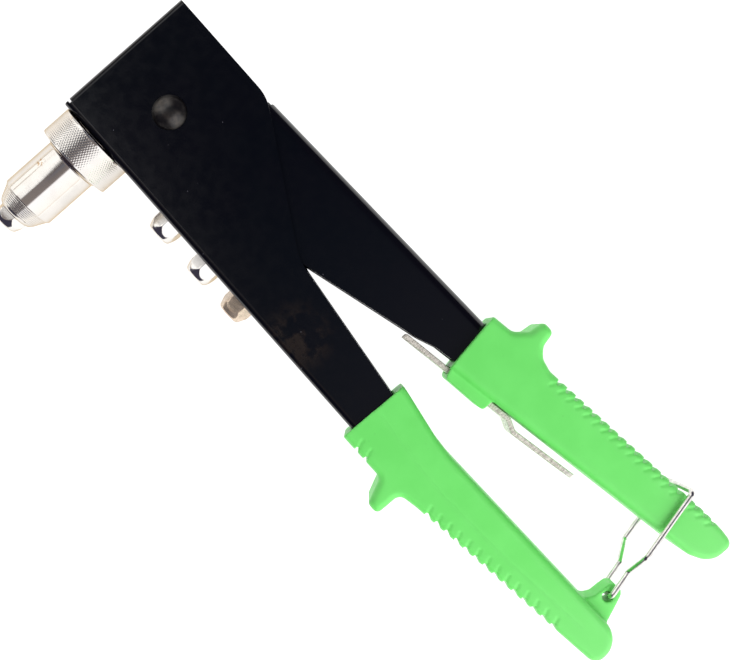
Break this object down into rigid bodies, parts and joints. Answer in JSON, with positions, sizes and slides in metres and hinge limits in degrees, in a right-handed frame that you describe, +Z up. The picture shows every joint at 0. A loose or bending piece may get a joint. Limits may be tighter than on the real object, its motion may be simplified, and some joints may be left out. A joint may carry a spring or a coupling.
{
  "type": "long-arm hand riveter",
  "caption": "Hand riveter: folded steel frame and nested lever with green grips, knurled nose with jaws inside, stored spare nosepieces, slide-out wrench and wire latch.",
  "frame": {"origin": "centre of the bounding box, on the surface the tool lies on", "axes": "+X from the head to the grips along the frame's web, -Y the way the nose points, +Z up, along the handle pivot"},
  "size_m": [0.2626, 0.1172, 0.0282],
  "materials": {
    "black_paint": "satin black paint on pressed steel, worn thin in places",
    "green_grip": "bright green moulded soft plastic, satin",
    "chrome_plate": "bright nickel-chrome plate on turned steel, knurled collar",
    "wrench_plate": "zinc plated pressed sheet",
    "latch_wire": "bright plated spring wire",
    "machined_steel": "turned steel, lightly oiled",
    "jaw_steel": "hardened and blackened steel",
    "spring_steel": "bright drawn spring wire"
  },
  "bodies": {
    "frame": {"body_channel": "black_paint", "pivot_rivet": "black_paint", "nose_bushing": "machined_steel", "nose_sleeve": "chrome_plate", "nosepiece_fitted": "chrome_plate", "spare_nosepiece_large": "chrome_plate", "spare_nosepiece_medium": "chrome_plate", "spare_nosepiece_small": "chrome_plate", "lower_grip": "green_grip"},
    "lever": {"lever_channel": "black_paint", "upper_grip": "green_grip"},
    "carriage": {"draw_tube": "machined_steel", "draw_collar": "machined_steel", "lock_nut": "machined_steel", "jaw_case": "machined_steel", "pusher_spring": "spring_steel", "return_spring": "spring_steel"},
    "jaw_a": {"jaw_1": "jaw_steel"},
    "jaw_b": {"jaw_2": "jaw_steel"},
    "jaw_c": {"jaw_3": "jaw_steel"},
    "pusher": {"jaw_pusher": "machined_steel"},
    "wrench": {"wrench": "wrench_plate"},
    "latch": {"latch_bail": "latch_wire"}
  },
  "joints": [
    {"name": "lever_hinge", "type": "hinge", "parent": "frame", "child": "lever", "pos_m": [-0.10445, 0.01027, 0.0141], "axis": [0, 0, 1], "range_deg": [-2.75, 30]},
    {"name": "draw_slide", "type": "slide", "parent": "frame", "child": "carriage", "axis": [0, 1, 0], "range_m": [-0.00674, 0.00063], "deforming": ["return_spring"]},
    {"name": "jaw_a_slide", "type": "slide", "parent": "carriage", "child": "jaw_a", "axis": [0.207, 0.971, -0.1195], "range_m": [-0.00013, 0.00135]},
    {"name": "jaw_b_slide", "type": "slide", "parent": "carriage", "child": "jaw_b", "axis": [-0.207, 0.971, -0.1195], "range_m": [-0.00013, 0.00135]},
    {"name": "jaw_c_slide", "type": "slide", "parent": "carriage", "child": "jaw_c", "axis": [0, 0.971, 0.239], "range_m": [-0.00013, 0.00135]},
    {"name": "pusher_slide", "type": "slide", "parent": "carriage", "child": "pusher", "axis": [0, 1, 0], "range_m": [-0.00013, 0.00131], "deforming": ["pusher_spring"]},
    {"name": "wrench_slide", "type": "slide", "parent": "lever", "child": "wrench", "axis": [0.9859, 0.1676, 0], "range_m": [0, 0.03]},
    {"name": "latch_hinge", "type": "hinge", "parent": "frame", "child": "latch", "pos_m": [0.11905, 0.01367, 0.0141], "axis": [0, 0, 1], "range_deg": [-120, 0]}
  ],
  "couplings": [
    {"joint": "draw_slide", "follows": "lever_hinge", "m_per_rad": -0.012849},
    {"joint": "jaw_a_slide", "follows": "lever_hinge", "m_per_rad": 0.0025569},
    {"joint": "jaw_b_slide", "follows": "lever_hinge", "m_per_rad": 0.0025569},
    {"joint": "jaw_c_slide", "follows": "lever_hinge", "m_per_rad": 0.0025569},
    {"joint": "pusher_slide", "follows": "lever_hinge", "m_per_rad": 0.0024828}
  ]
}
